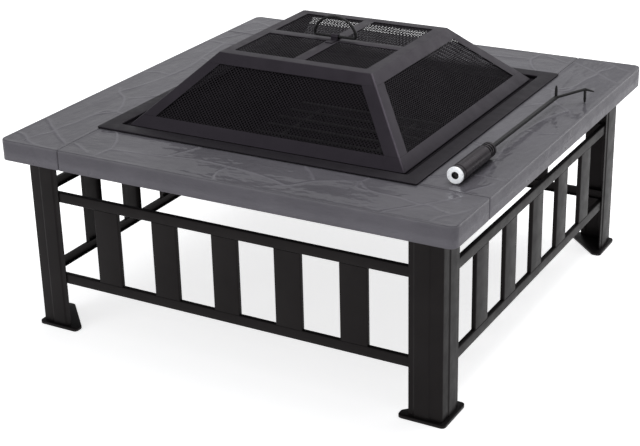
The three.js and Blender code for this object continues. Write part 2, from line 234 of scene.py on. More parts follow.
def place_on_piece(tree):
    return add_node(tree, "ShaderNodeTexCoord", {}, out="Object")


def height_on_piece(tree):
    return add_node(tree, "ShaderNodeSeparateXYZ", {0: place_on_piece(tree)}, out="Z")


def surface_noise(tree, scale, detail=2.0, roughness=0.5, stretch=None):
    """Noise that stays on the piece, with features of about 1/scale metres."""
    place = place_on_piece(tree)
    if stretch:
        place = add_node(tree, "ShaderNodeMapping", {"Vector": place, "Scale": stretch})
    return add_node(tree, "ShaderNodeTexNoise", {
        "Vector": place, "Scale": scale, "Detail": detail, "Roughness": roughness})


def spread(tree, value, low, high, start=0.3, end=0.7):
    """A value carried from its own range, start to end, to another."""
    return add_node(tree, "ShaderNodeMapRange", {
        "Value": value, "From Min": start, "From Max": end, "To Min": low,
        "To Max": high})


def mixed(tree, factor, first, second):
    """Two colours mixed by a factor."""
    return add_node(tree, "ShaderNodeMix", {0: factor, 6: first, 7: second}, out=2,
                    data_type="RGBA")


def shade(colour, amount):
    """A colour made lighter or darker, with its alpha."""
    return tuple(min(1.0, c * amount) for c in colour) + (1.0,)


def mottled(tree, clouds, colour, dark, light):
    """A colour that drifts between two shades of itself."""
    return mixed(tree, spread(tree, clouds, 0.0, 1.0), shade(colour, dark),
                 shade(colour, light))


def bumps(tree, *layers):
    """Bump layers, each (height, strength, distance), one on top of the other."""
    below = {}
    for height, strength, distance in layers:
        below["Normal"] = add_node(tree, "ShaderNodeBump", {
            "Height": height, "Strength": strength, "Distance": distance, **below})
    return below["Normal"]


def slate_finish(tree, grey):
    """Semi-gloss grey paint over the stamped slate, with mineral mottling and a painted
    highlight along the raised joints.
    """
    flow = add_node(tree, "ShaderNodeAttribute", {}, out="Vector", attribute_name="flow")
    ridge = add_node(tree, "ShaderNodeAttribute", {}, out="Fac", attribute_name="ridge")
    along = add_node(tree, "ShaderNodeMapping", {"Vector": flow, "Scale": (0.3, 1.0, 1.0)})
    veins = add_node(tree, "ShaderNodeTexNoise", {
        "Vector": along, "Scale": 90.0, "Detail": 6.0, "Roughness": 0.65})
    grains = surface_noise(tree, 900.0)
    base = mottled(tree, surface_noise(tree, 7.0, 4.0, 0.55), grey, 0.86, 1.12)
    # Each layer's full strength, the range in which it comes up, and its shade. The veins and
    # grains are the slate's own marks, and the lighter shade along the raised joints is a
    # painted highlight.
    for layer, full, start, end, tone in (
            (veins, 0.34, 0.45, 0.7, 0.76), (grains, 0.30, 0.52, 0.72, 1.38),
            (ridge, 0.55, 0.35, 1.0, 1.55)):
        base = mixed(tree, spread(tree, layer, 0.0, full, start, end), base,
                     shade(grey, tone))
    # The flat top takes more lacquer than the skirts.
    face = table_height()
    lacquer = spread(tree, height_on_piece(tree), 0.0, 0.6, face - 0.005, face - 0.001)
    return {
        "Base Color": base, "Specular IOR Level": 0.05,
        "Roughness": spread(tree, surface_noise(tree, 55.0, 4.0), 0.27, 0.40),
        "Coat Weight": lacquer, "Coat Roughness": 0.06,
        "Normal": bumps(tree, (veins, 0.55, 0.0016),
                        (surface_noise(tree, 330.0, 3.0, 0.6), 0.30, 0.0004),
                        (grains, 0.12, 0.0002))}


def painted_finish(tree, colour, rough, gloss, peel, dust):
    """Sprayed paint: an orange-peel surface, uneven gloss and faint dust."""
    specks = surface_noise(tree, 650.0)
    base = mottled(tree, surface_noise(tree, 14.0, 3.0), colour, 0.86, 1.16)
    return {
        "Base Color": mixed(tree, spread(tree, specks, 0.0, dust, 0.55, 0.75), base,
                            shade(colour, 3.2)),
        "Diffuse Roughness": 0.2, "Specular IOR Level": gloss,
        "Specular Tint": shade(colour, 1.0 / max(colour)),
        "Roughness": spread(tree, surface_noise(tree, 38.0, 4.0, 0.6), rough - 0.07,
                            rough + 0.08),
        "Normal": bumps(tree, (surface_noise(tree, 420.0), peel, 0.0003),
                        (specks, peel * 0.6, 0.0001))}


def bowl_finish(tree, colour, **amounts):
    """Heat-proof paint that turns dark and dull below the rim, partly soot and partly painted
    shade in the deep seat under the screen.
    """
    paint = painted_finish(tree, colour, **amounts)
    soot_and_shade_noise = surface_noise(tree, 26.0, 4.0, 0.6)
    edge = add_node(tree, "ShaderNodeMath", {
        0: height_on_piece(tree), 1: spread(tree, soot_and_shade_noise, -0.0010, 0.0006)},
        operation="ADD")
    rim, soot_and_shade_rough = table_height(), 0.85
    # Below the rim the paint darkens: real soot in the bowl, and painted shade in the seat
    # channel.
    soot_and_shade = spread(tree, edge, 1.0, 0.0, rim - 0.0015, rim + 0.0015)
    return {
        **paint,
        "Base Color": mixed(tree, soot_and_shade, paint["Base Color"], shade(colour, 0.30)),
        "Roughness": add_node(tree, "ShaderNodeMix", {
            0: soot_and_shade, 2: paint["Roughness"], 3: soot_and_shade_rough})}


def cast_finish(tree, colour):
    """Matt, slightly gritty heat-proof paint on rods, with scaled patches."""
    patches = surface_noise(tree, 60.0, 5.0, 0.65)
    return {
        "Base Color": mottled(tree, patches, colour, 0.75, 1.5),
        "Specular IOR Level": 0.34, "Roughness": spread(tree, patches, 0.48, 0.68),
        "Normal": bumps(tree, (patches, 0.3, 0.0006),
                        (surface_noise(tree, 1100.0), 0.35, 0.00025))}


def chrome_finish(tree, colour):
    """Plating given mostly as a near-white colour, a painted reflection in place of a mirror
    finish, with turning marks and a little clouding.
    """
    marks = surface_noise(tree, 1500.0, stretch=(0.2, 1.0, 0.2))
    clouding = surface_noise(tree, 120.0, 3.0)
    return {
        # The low metal share leaves the near-white colour as painted brightness that stands in
        # for the plating's reflection.
        "Base Color": mottled(tree, clouding, colour, 0.9, 1.06), "Metallic": 0.12,
        "Roughness": spread(tree, clouding, 0.26, 0.40),
        "Normal": bumps(tree, (marks, 0.12, 0.0001))}


def floor_finish(tree):
    """Plain pale floor, lit a little from below as a light table is."""
    cloud = surface_noise(tree, 1.5)
    return {
        "Base Color": mixed(tree, spread(tree, cloud, 0.0, 1.0), (0.86, 0.86, 0.865, 1.0),
                            (0.88, 0.88, 0.885, 1.0)),
        "Specular IOR Level": 0.1, "Roughness": spread(tree, cloud, 0.75, 0.85),
        "Emission Color": (1.0, 1.0, 1.0, 1.0), "Emission Strength": 0.72,
        "Normal": bumps(tree, (surface_noise(tree, 300.0), 0.03, 0.0002))}


# How each finish is mixed, the colour that it takes and its own amounts.
FINISHES = {
    "slate paint": (slate_finish, "slate", {}),
    "rod paint": (cast_finish, "rods", {}),
    "chrome": (chrome_finish, "chrome", {}),
    "bowl paint": (bowl_finish, "bowl", {
        "rough": 0.44, "gloss": 0.20, "peel": 0.20, "dust": 0.12}),
    "black paint": (painted_finish, "black", {
        "rough": 0.42, "gloss": 0.10, "peel": 0.16, "dust": 0.10}),
    "screen paint": (painted_finish, "screen", {
        "rough": 0.40, "gloss": 0.38, "peel": 0.22, "dust": 0.14}),
    "wire paint": (painted_finish, "wire", {
        "rough": 0.52, "gloss": 0.08, "peel": 0.10, "dust": 0.05}),
    "grip lacquer": (painted_finish, "grip", {
        "rough": 0.30, "gloss": 0.28, "peel": 0.12, "dust": 0.10}),
}


def new_finish(name, mix, *colour, **amounts):
    """A material whose shader is filled by one of the mixing functions above."""
    material = bpy.data.materials.new(name)
    material.use_nodes = True
    tree = material.node_tree
    fill_sockets(tree, tree.nodes["Principled BSDF"], mix(tree, *colour, **amounts))
    return material


def finish(name):
    """The named finish, mixed the first time it is used."""
    if name in bpy.data.materials:
        return bpy.data.materials[name]
    mix, colour, amounts = FINISHES[name]
    colour = getattr(bpy.context.scene.fire_pit_colours, colour)
    return new_finish(name, mix, colour, **amounts)


# Shapes


def rounded_path(points, bends, closed=False, steps=4):
    """Straight runs between corner points, with each corner bent to its radius."""
    points = [Vector(point) for point in points]
    if isinstance(bends, float):
        bends = [bends] * len(points)
    path = []
    for i, corner in enumerate(points):
        back = points[i - 1] - corner
        on = points[(i + 1) % len(points)] - corner
        at_end = not closed and i in (0, len(points) - 1)
        turn = 0.0 if at_end else math.pi - back.angle(on)
        if bends[i] <= 0.0 or turn < 0.01:
            path.append(corner)
            continue
        reach = min(bends[i] * math.tan(turn / 2), 0.49 * back.length, 0.49 * on.length)
        back.normalize()
        on.normalize()
        depth = reach / math.tan(turn / 2) / math.cos(turn / 2)
        centre = corner + (back + on).normalized() * depth
        start, end = corner + back * reach - centre, corner + on * reach - centre
        for k in range(steps + 1):
            a, b = math.sin((1 - k / steps) * turn), math.sin(k / steps * turn)
            path.append(centre + (start * a + end * b) / math.sin(turn))
    return path


def beside(path, depth, closed=False):
    """A flat path moved to its own left by a depth."""
    moved = []
    for i, point in enumerate(path):
        first, last = not closed and i == 0, not closed and i == len(path) - 1
        into = point - path[i - 1] if not first else path[1] - point
        out = path[(i + 1) % len(path)] - point if not last else into
        left = [Vector((-way.y, way.x)).normalized() for way in (into, out)]
        middle = (left[0] + left[1]).normalized()
        moved.append(point + middle * depth / max(0.3, middle.dot(left[0])))
    return moved


def sheet_section(points, bend, thickness, steps=4):
    """The outline of a bent sheet: along its outer face, back along its inner face."""
    face = rounded_path(points, bend, steps=steps)
    return face + beside(face, thickness)[::-1]


def ring_faces(a, b, count):
    """The faces between two rings of points that start at a and at b."""
    return [(a + i, a + (i + 1) % count, b + (i + 1) % count, b + i) for i in range(count)]


def skinned(rings, closed=False):
    """Points and faces of a skin over rings of points, which is either joined end to
    end or capped at both ends."""
    count, levels = len(rings[0]), len(rings)
    points = [point for ring in rings for point in ring]
    faces = []
    for r in range(levels if closed else levels - 1):
        faces += ring_faces(r * count, (r + 1) % levels * count, count)
    if not closed:
        faces.append(tuple(range(count))[::-1])
        faces.append(tuple(range(len(points) - count, len(points))))
    return points, faces


def stretched(outline, stations, place):
    """An outline repeated at each station and skinned."""
    return skinned([[place(a, b, station) for a, b in outline] for station in stations])


def upright(a, b, height):
    return a, b, height


def lengthways(a, b, along):
    return along, a, b


def eased_plate(outline, low, high, ease):
    """A flat plate with eased edges, from an outline drawn anticlockwise."""
    levels = ((low, ease), (low + ease, 0.0), (high - ease, 0.0),
              (high - 0.3 * ease, 0.3 * ease), (high, ease))
    return skinned([[(*point, height) for point in beside(outline, inset, closed=True)]
                    for height, inset in levels])


def square_ring(half, height, corner, steps=6):
    """One level loop of a rounded square about the Z axis."""
    corner = min(corner, half)
    ring = []
    for quarter in range(4):
        middle = Matrix.Rotation(math.pi / 2 * quarter, 2) @ Vector(
            (half - corner, half - corner))
        for k in range(steps + 1):
            angle = math.pi / 2 * (quarter + k / steps)
            ring.append((middle.x + corner * math.cos(angle),
                         middle.y + corner * math.sin(angle), height))
    return ring


def square_hoop(section, corner, closed=True):
    """A section of (half width, height) points carried round a rounded square. The
    corner radius is a function of the half width."""
    return skinned([square_ring(half, height, corner(half)) for half, height in section],
                   closed)


def turned_solid(profile, place, sides=48):
    """A profile of (radius, distance) points spun about its axis. The first and the
    last point lie on the axis."""
    points = [place(0.0, 0.0, profile[0][1])]
    inner = profile[1:-1]
    for radius, along in inner:
        points += [place(radius * math.cos(2 * math.pi * k / sides),
                         radius * math.sin(2 * math.pi * k / sides), along)
                   for k in range(sides)]
    points.append(place(0.0, 0.0, profile[-1][1]))
    faces = [(0, 1 + (k + 1) % sides, 1 + k) for k in range(sides)]
    starts = [1 + r * sides for r in range(len(inner))]
    for a, b in zip(starts, starts[1:]):
        faces += ring_faces(a, b, sides)
    a, tip = starts[-1], len(points) - 1
    faces += [(a + k, a + (k + 1) % sides, tip) for k in range(sides)]
    return points, faces


# Pieces

# The finish, the body and the slot of pieces that belong together.
TABLE_METAL = ("black paint", "table", "black_paint")
SCREEN_METAL = ("screen paint", "screen", "screen_paint")
SCREEN_WIRE = ("wire paint", "screen", "mesh_wire")


def sizes():
    return bpy.context.scene.fire_pit_sizes


def new_object(name, data):
    """A new object in the scene."""
    thing = bpy.data.objects.new(name, data)
    bpy.context.scene.collection.objects.link(thing)
    return thing


def solid_mesh(name, shape):
    """A closed mesh of (points, faces), with its faces pointing outwards."""
    points, faces = shape
    mesh = bpy.data.meshes.new(name)
    mesh.from_pydata([tuple(point) for point in points], [], faces)
    work = bmesh.new()
    work.from_mesh(mesh)
    bmesh.ops.remove_doubles(work, verts=work.verts, dist=1e-6)
    bmesh.ops.recalc_face_normals(work, faces=work.faces)
    work.to_mesh(mesh)
    work.free()
    return mesh


def joined(name, *meshes):
    """Several meshes as one."""
    work = bmesh.new()
    for mesh in meshes:
        work.from_mesh(mesh)
    whole = bpy.data.meshes.new(name)
    work.to_mesh(whole)
    work.free()
    return whole


def turned(mesh, quarter):
    """A copy of a mesh turned about the middle of the table by quarter turns."""
    copy = mesh.copy()
    copy.transform(Matrix.Rotation(math.pi / 2 * quarter, 4, "Z"))
    return copy


def put_piece(name, mesh, look, body, slot, nodes, sharp=32.0):
    """Makes a mesh the piece that stands for some nodes of the frame, on its body. Its
    edges stay crisp where they turn by more than the sharp angle."""
    if not mesh.polygons:
        raise RuntimeError(f"{name} came out empty")
    mesh.materials.clear()
    mesh.materials.append(finish(look))
    mesh.shade_smooth()
    mesh.set_sharp_from_angle(angle=math.radians(sharp))
    piece = new_object(name, mesh)
    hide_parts(*nodes)
    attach(piece, body)
    return piece


def put_around(places, name, node, mesh, look, body, slot, sharp=32.0):
    """Puts a mesh at the first place and turned copies of it at the others. The name
    and the node hold {} where the place goes."""
    return [put_piece(name.format(place), turned(mesh, quarter), look, body, slot,
                      [node.format(place)], sharp)
            for quarter, place in enumerate(places)]


def grown_mesh(start, tree_name, **inputs):
    """Runs a node tree on a starting mesh and returns the result as a plain mesh."""
    holder = new_object(start.name, start)
    grower = holder.modifiers.new("grow", "NODES")
    grower.node_group = node_tree(tree_name)
    for item in grower.node_group.interface.items_tree:
        if item.in_out == "INPUT" and item.name in inputs:
            grower[item.identifier] = inputs[item.name]
    depsgraph = bpy.context.evaluated_depsgraph_get()
    grown = bpy.data.meshes.new_from_object(holder.evaluated_get(depsgraph))
    bpy.data.objects.remove(holder)
    return grown


def path_mesh(name, paths, tips=()):
    """Edges along each (points, closed) path, for a node tree to follow. Points within
    a path whose place is in tips are thinned to that share of the rod's radius."""
    points, edges, taper = [], [], []
    for path, closed in paths:
        first = len(points)
        points += [tuple(point) for point in path]
        taper += [1.0] * len(path)
        edges += [(i, i + 1) for i in range(first, len(points) - 1)]
        if closed:
            edges.append((len(points) - 1, first))
    for i, share in tips:
        taper[i] = share
    mesh = bpy.data.meshes.new(name)
    mesh.from_pydata(points, edges, [])
    mesh.attributes.new("taper", "FLOAT", "POINT").data.foreach_set("value", taper)
    return mesh


# Stamped table panels

TABLE_CORNER = 0.014  # Outer radius of the table's corners
SEAM_CORNER = 0.0006  # Radius of a panel's corners at the seams and the opening
EDGE_STEP = 0.0035  # Distance between points along a panel's edge
FACE_STEP = 0.0025  # Distance between points across its face
SHORT_SKIRT = 0.020  # Depth of the skirt round the opening and at the seams
SEAM_TAB = 0.020  # Width of the full-depth tabs that close the seams
JOINT_WIDTH = 0.0027  # Half width of a raised joint
LEDGES = 3.2  # Ledges between the lowest and the highest slate
LEDGE_RISE = 0.3  # Share of a ledge that its edge takes up
EDGE_FADE = 0.007  # Distance over which the pattern dies away at the edge


def softened(points, steps=5):
    """A drawn line carried smoothly through its points."""
    ends = [2 * Vector(points[0]) - Vector(points[1]), *map(Vector, points),
            2 * Vector(points[-1]) - Vector(points[-2])]
    line = []
    for a, b, c, d in zip(ends, ends[1:], ends[2:], ends[3:]):
        for k in range(steps):
            t = k / steps
            line.append(0.5 * (2 * b + (c - a) * t + (2 * a - 5 * b + 4 * c - d) * t ** 2
                               + (3 * b - a - 3 * c + d) * t ** 3))
    return [*line, Vector(points[-1])]


def distance_to_lines(places, lines):
    """Each place's distance to the nearest of the lines, up to a metre."""
    nearest = np.full(len(places), 1.0)
    for line in lines:
        knots = np.array([tuple(point) for point in line])
        for start, end in zip(knots[:-1], knots[1:]):
            way = end - start
            share = np.clip((places - start) @ way / max(way @ way, 1e-12), 0.0, 1.0)
            gap = np.linalg.norm(places - start - share[:, None] * way, axis=1)
            nearest = np.minimum(nearest, gap)
    return nearest


def eased(share):
    """A share from 0 to 1 that starts and ends gently."""
    return share * share * (3 - 2 * share)


def relief_noise(places, across, along, seed, octaves=0, fall=1.0):
    """Noise at each place, with so many features to the metre in x and in y."""
    spots = [Vector((x * across, y * along, seed)) for x, y in places]
    if not octaves:
        return np.array([noise.noise(spot) for spot in spots])
    return np.array([noise.fractal(spot, fall, 2.1, octaves) for spot in spots])


def slate_relief(places, border):
    """How far the stamped sheet lies below its highest level, as a share of the
    pattern's height, and how much of a raised joint is at each place."""
    lines = [[point * MM for point in softened(line)] for line in SLATE_JOINTS]
    gap = distance_to_lines(places, lines)
    width = JOINT_WIDTH * (1.0 + 0.4 * relief_noise(places, 90, 90, 3.0))
    joint = 1.0 / (1.0 + (gap / width) ** 4)
    broad = relief_noise(places, 16, 30, 7.0)
    chips = relief_noise(places, 75, 150, 1.0, 3, 0.9)
    # Split slate breaks in low ledges that run along the panel, each with a short rise.
    level = LEDGES * relief_noise(places, 8, 30, 5.0, 4)
    rise = np.clip((level - np.floor(level) - (1 - LEDGE_RISE)) / LEDGE_RISE, 0.0, 1.0)
    ledge = np.floor(level) + eased(rise)
    face = 0.62 + 0.20 * ledge + 0.10 * broad + 0.16 * chips
    drop = np.clip(face * (1.0 - joint), 0.0, 1.0)
    fade = eased(np.clip(border / EDGE_FADE, 0.0, 1.0))
    return drop * fade, joint * fade


def panel_points(low, high, fold):
    """The points round the edge of the front panel's face, and those inside it."""
    corners = ((low.x + fold, low.y + fold), (high.x - fold, low.y + fold),
               (high.x - fold, high.y - fold), (low.x + fold, high.y - fold))
    bend = rounded_path(corners, [SEAM_CORNER, TABLE_CORNER - fold, SEAM_CORNER,
                                  SEAM_CORNER], closed=True, steps=6)
    rim = []
    for a, b in zip(bend, bend[1:] + bend[:1]):
        parts = max(1, round((b - a).length / EDGE_STEP))
        rim += [a.lerp(b, k / parts) for k in range(parts)]
    corner = Vector((high.x - TABLE_CORNER, low.y + TABLE_CORNER))
    inside = [
        Vector((x, y))
        for x in np.arange(low.x + fold + FACE_STEP / 2, high.x - fold - FACE_STEP / 4,
                           FACE_STEP)
        for y in np.arange(low.y + fold + FACE_STEP / 2, high.y - fold - FACE_STEP / 4,
                           FACE_STEP)
        if x < corner.x or y > corner.y
        or (corner - Vector((x, y))).length < TABLE_CORNER - fold - FACE_STEP / 2
    ]
    return rim, inside


def skirt_rows(low, high, fold, rim):
    """Rows of the folded skirt, each its depths round the edge and how far out it is."""
    rows = [([fold * (1 - math.cos(t))] * len(rim), fold * math.sin(t))
            for t in map(math.radians, (18, 36, 54, 72, 90))]
    # Only the table's outer sides, with their tabs, have the full depth.
    outward = [point - inner for point, inner in zip(beside(rim, -1.0, closed=True), rim)]
    depths = [high.z - low.z if way.y < -0.5 or way.x > 0.5
              or point.y < low.y + SEAM_TAB or point.x > high.x - SEAM_TAB
              else SHORT_SKIRT for way, point in zip(outward, rim)]
    return rows + [([fold + (depth - fold) * share for depth in depths], fold)
                   for share in (0.5, 1.0)]


def stamped_panel():
    """The front panel: a stamped face with folded skirts, as one open sheet."""
    low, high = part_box("table_panel_front")
    fold = sizes().panel_fold
    rim, inside = panel_points(low, high, fold)
    count = len(rim)
    edges = [(i, (i + 1) % count) for i in range(count)]
    flat, _, triangles, origins, _, _ = delaunay_2d_cdt(rim + inside, edges, [], 1, 1e-7)
    places = np.array([tuple(point) for point in flat])
    border = distance_to_lines(places, [[*rim, rim[0]]])
    drop, joint = slate_relief(places, border)
    points = [(x, y, high.z - sizes().slate_rise * d) for (x, y), d in zip(places, drop)]
    ridge = list(joint)
    faces = [(a, b, c) if (flat[b] - flat[a]).cross(flat[c] - flat[a]) > 0 else (a, c, b)
             for a, b, c in triangles]
    where = {origin: i for i, group in enumerate(origins) for origin in group}
    above = [where[i] for i in range(count)]
    for depths, out in skirt_rows(low, high, fold, rim):
        below = list(range(len(points), len(points) + count))
        points += [(point.x, point.y, high.z - depth) for point, depth
                   in zip(beside(rim, -out, closed=True), depths)]
        faces += [(above[i], below[i], below[j], above[j]) for i, j in edges]
        above = below
    ridge += [0.0] * (len(points) - len(ridge))
    mesh = bpy.data.meshes.new("stamped panel")
    mesh.from_pydata(points, [], faces)
    # The share of a raised joint at each point, kept for the painted highlight along the joints
    # in the slate paint.
    mesh.attributes.new("ridge", "FLOAT", "POINT").data.foreach_set("value", ridge)
    mesh.attributes.new("flow", "FLOAT_VECTOR", "POINT").data.foreach_set(
        "vector", [c for point in points for c in point])
    return mesh


class FIREPIT_OT_table_panels(Operator):
    """Stamps and folds the four table panels"""

    bl_idname = "fire_pit.table_panels"
    bl_label = "Table Panels"

    def execute(self, context):
        for panel in put_around(SIDES, "stamped_panel_{}", "table_panel_{}", stamped_panel(),
                                "slate paint", "table", "slate_paint", sharp=50.0):
            wall = panel.modifiers.new("sheet", "SOLIDIFY")
            wall.thickness = sizes().panel_sheet
            wall.offset = -1.0
            wall.use_even_offset = True
        return {"FINISHED"}


# Legs and foot plates


class FIREPIT_OT_legs(Operator):
    """Folds the four ribbed corner legs"""

    bl_idname = "fire_pit.legs"
    bl_label = "Legs"

    def execute(self, context):
        low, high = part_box("leg_front_left")
        rib, fold, heel = 0.0015, 0.0025, 0.0032
        corner = low.x + rib
        # One wing, from its free edge in to the corner. The pressed rib stands out.
        wing = ((0.059, 0), (0.051, 0), (0.048, -rib), (0.024, -rib), (0.021, 0), (0, 0))
        outer = [(corner + a, corner + b) for a, b in wing]
        outer += [(corner + b, corner + a) for a, b in wing[-2::-1]]
        section = sheet_section(outer, [0.0, *[fold] * 4, heel, *[fold] * 4, 0.0],
                                -sizes().leg_sheet)
        mesh = solid_mesh("folded leg", stretched(section, (low.z, high.z), upright))
        put_around(CORNERS, "folded_leg_{}", "leg_{}", mesh, *TABLE_METAL, sharp=20.0)
        return {"FINISHED"}


class FIREPIT_OT_foot_plates(Operator):
    """Cuts the four foot plates, with eased edges"""

    bl_idname = "fire_pit.foot_plates"
    bl_label = "Foot Plates"

    def execute(self, context):
        low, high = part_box("foot_plate_front_left")
        end, corner, ease = 0.017, 0.0075, 0.0008
        outline = rounded_path(
            ((low.x, low.y), (high.x, low.y), (high.x, low.y + end),
             (low.x + end, high.y), (low.x, high.y)), corner, closed=True, steps=6)
        mesh = solid_mesh("foot plate", eased_plate(outline, low.z, high.z, ease))
        put_around(CORNERS, "corner_plate_{}", "foot_plate_{}", mesh, *TABLE_METAL,
                   sharp=60.0)
        return {"FINISHED"}


# Side frames


class FIREPIT_OT_rails(Operator):
    """Folds the upper and the lower rail of each side"""

    bl_idname = "fire_pit.rails"
    bl_label = "Rails"

    def execute(self, context):
        for level in ("lower", "upper"):
            low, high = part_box(f"front_rail_{level}")
            section = sheet_section(
                ((high.y, low.z), (low.y, low.z), (low.y, high.z), (high.y, high.z)),
                sizes().frame_bend, -sizes().frame_sheet)
            mesh = solid_mesh("rail", stretched(section, (low.x, high.x), lengthways))
            put_around(SIDES, level + "_rail_{}", "{}_rail_" + level, mesh, *TABLE_METAL)
        return {"FINISHED"}


class FIREPIT_OT_slats(Operator):
    """Folds one slat and repeats it along each side"""

    bl_idname = "fire_pit.slats"
    bl_label = "Slats"

    def execute(self, context):
        count = 5
        low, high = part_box("front_slat_1")
        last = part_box(f"front_slat_{count}")[0].x
        half = (high.x - low.x) / 2
        section = sheet_section(
            ((-half, high.y), (-half, low.y), (half, low.y), (half, high.y)),
            sizes().frame_bend, sizes().frame_sheet)
        slat = solid_mesh("slat", stretched(section, (low.z, high.z), upright))
        for quarter, side in enumerate(SIDES):
            row = grown_mesh(
                slat.copy(), "Row of pieces", Count=count,
                Start=((low.x + high.x) / 2, 0.0, 0.0),
                Step=((last - low.x) / (count - 1), 0.0, 0.0),
                Turn=(0.0, 0.0, math.pi / 2 * quarter))
            put_piece(f"slats_{side}", row, *TABLE_METAL,
                      [f"{side}_slat_{n + 1}" for n in range(count)])
        return {"FINISHED"}


# Fire bowl and log grate


class FIREPIT_OT_bowl(Operator):
    """Presses the fire bowl, with its hemmed rim and the seat for the screen"""

    bl_idname = "fire_pit.bowl"
    bl_label = "Fire Bowl"

    # The corner radius at each half width, wide at the floor and tight at the rim.
    half_widths = (0.02, 0.2, 0.252, 0.279, 0.3095)
    corners = (0.012, 0.03, 0.014, 0.005, 0.0035)

    def execute(self, context):
        low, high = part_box("fire_bowl")
        foot_low, foot_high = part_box("screen_foot_frame")
        sheet = sizes().bowl_sheet
        rim, rest = high.x, table_height()
        clearance, seat_width = 0.007, 0.027
        step = foot_high.x + clearance
        seat, seat_height = step - seat_width, foot_low.z
        floor, floor_height, middle = 0.200, low.z + sheet, 0.020
        # Each corner of the wall's outline and its bend, out from the middle underneath
        # and back over the rim.
        outline = (
            (middle, low.z, 0.0), (floor + sheet, low.z, 0.011),
            (seat + sheet, seat_height - sheet, 0.004),
            (step + sheet, seat_height - sheet, 0.0015), (step + sheet, rest, 0.0006),
            (rim, rest, 0.0013), (rim, high.z, 0.0013), (step, high.z, 0.0022),
            (step, seat_height, 0.001), (seat, seat_height, 0.0025),
            (floor, floor_height, 0.0095), (middle, floor_height, 0.0))
        section = rounded_path([point[:2] for point in outline],
                               [point[2] for point in outline], steps=5)
        mesh = solid_mesh("bowl", square_hoop(
            section, lambda half: float(np.interp(half, self.half_widths, self.corners)),
            closed=False))
        put_piece("pressed_bowl", mesh, "bowl paint", "bowl", "bowl_paint", ["fire_bowl"])
        return {"FINISHED"}


class FIREPIT_OT_log_grate(Operator):
    """Lays round bars on two bent bearers"""

    bl_idname = "fire_pit.log_grate"
    bl_label = "Log Grate"

    def execute(self, context):
        low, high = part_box("log_grate")
        thick, ease, count = sizes().grate_bar, 0.0012, 7
        reach, radius = high.x, thick / 2
        bar_height, bearer_height = high.z - radius, high.z - thick
        bar = solid_mesh("grate bar", turned_solid(
            ((0.0, -reach), (radius - ease, -reach), (radius, -reach + ease),
             (radius, reach - ease), (radius - ease, reach), (0.0, reach)),
            lambda a, b, along: (along, a, b + bar_height), sides=16))
        first = low.y + radius
        bars = grown_mesh(
            bar, "Row of pieces", Count=count, Start=(0.0, first, 0.0),
            Step=(0.0, -2 * first / (count - 1), 0.0), Turn=(0.0, 0.0, 0.0))
        end, bearer, bend = -first - radius, 0.100, 0.010
        paths = [(rounded_path(
            ((x, -end, low.z), (x, -end, bearer_height), (x, end, bearer_height),
             (x, end, low.z)), bend, steps=6), False) for x in (-bearer, bearer)]
        bearers = grown_mesh(path_mesh("bearers", paths), "Bent rod", Diameter=thick,
                             Sides=16)
        put_piece("welded_grate", joined("log grate", bars, bearers), "rod paint", "grate",
                  "grate_black", ["log_grate"])
        return {"FINISHED"}


# Spark screen

BAND_TOP = 0.020  # Width of the top frame's level band


def screen_shape():
    """The screen's outer slope: its half width at a height, less a depth square to the
    slope, and the slope's angle from level."""
    low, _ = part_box("screen_foot_frame")
    _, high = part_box("screen_top_frame")
    foot, foot_height = -low.x, low.z
    # The top frame is cut square at its lower edge, so its width is read off its top.
    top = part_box("screen_cross_bars")[1].x + BAND_TOP
    slope = (foot - top) / (high.z - foot_height)

    def half(height, depth=0.0):
        return foot - (height - foot_height) * slope - depth * math.hypot(1.0, slope)

    return half, math.atan2(1.0, slope), foot_height, high.z


class FIREPIT_OT_screen_frame(Operator):
    """Folds the screen's foot frame, struts, top frame and cross bars"""

    bl_idname = "fire_pit.screen_frame"
    bl_label = "Screen Frame"

    def execute(self, context):
        half, _, foot, top = screen_shape()
        sheet, corner, foot_flange = sizes().screen_sheet, 0.0035, 0.018
        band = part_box("screen_foot_frame")[1].z
        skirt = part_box("screen_top_frame")[0].z
        for name, piece, bend, outer in (
                ("foot", "screen_foot", 0.0026,
                 ((half(foot) - foot_flange, foot), (half(foot), foot), (half(band), band))),
                ("top", "screen_top", 0.003,
                 ((half(skirt), skirt), (half(top), top), (half(top) - BAND_TOP, top)))):
            mesh = solid_mesh(f"{name} frame", square_hoop(
                sheet_section(outer, bend, sheet), lambda h: corner))
            put_piece(piece, mesh, *SCREEN_METAL, [f"screen_{name}_frame"])
        self.struts(half, band, skirt, sheet)
        self.cross_bars()
        return {"FINISHED"}

    def struts(self, half, band, skirt, sheet):
        """An angle strip up each corner of the slope."""
        gap, wing, bend = 0.0002, 0.028, 0.0035
        rings = []
        for height in (band + gap, (band + skirt) / 2, skirt - gap):
            edge = half(height)
            section = sheet_section(
                ((-edge + wing, -edge), (-edge, -edge), (-edge, -edge + wing)), bend,
                half(height, sheet) - edge, steps=5)
            rings.append([(*point, height) for point in section])
        put_around(CORNERS, "screen_corner_{}", "screen_strut_{}",
                   solid_mesh("strut", skinned(rings)), *SCREEN_METAL)

    def cross_bars(self):
        """One pressed cross with rounded inner corners."""
        low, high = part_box("screen_cross_bars")
        reach, side, fillet, ease = high.x, 0.011, 0.003, 0.0004
        arm = [(reach, -side), (reach, side), (side, side)]
        corners = [Matrix.Rotation(math.pi / 2 * k, 2) @ Vector(p)
                   for k in range(4) for p in arm]
        outline = rounded_path(corners, [0.0, 0.0, fillet] * 4, closed=True)
        mesh = solid_mesh("cross bars", eased_plate(outline, low.z, high.z, ease))
        put_piece("screen_cross", mesh, *SCREEN_METAL, ["screen_cross_bars"], sharp=50.0)


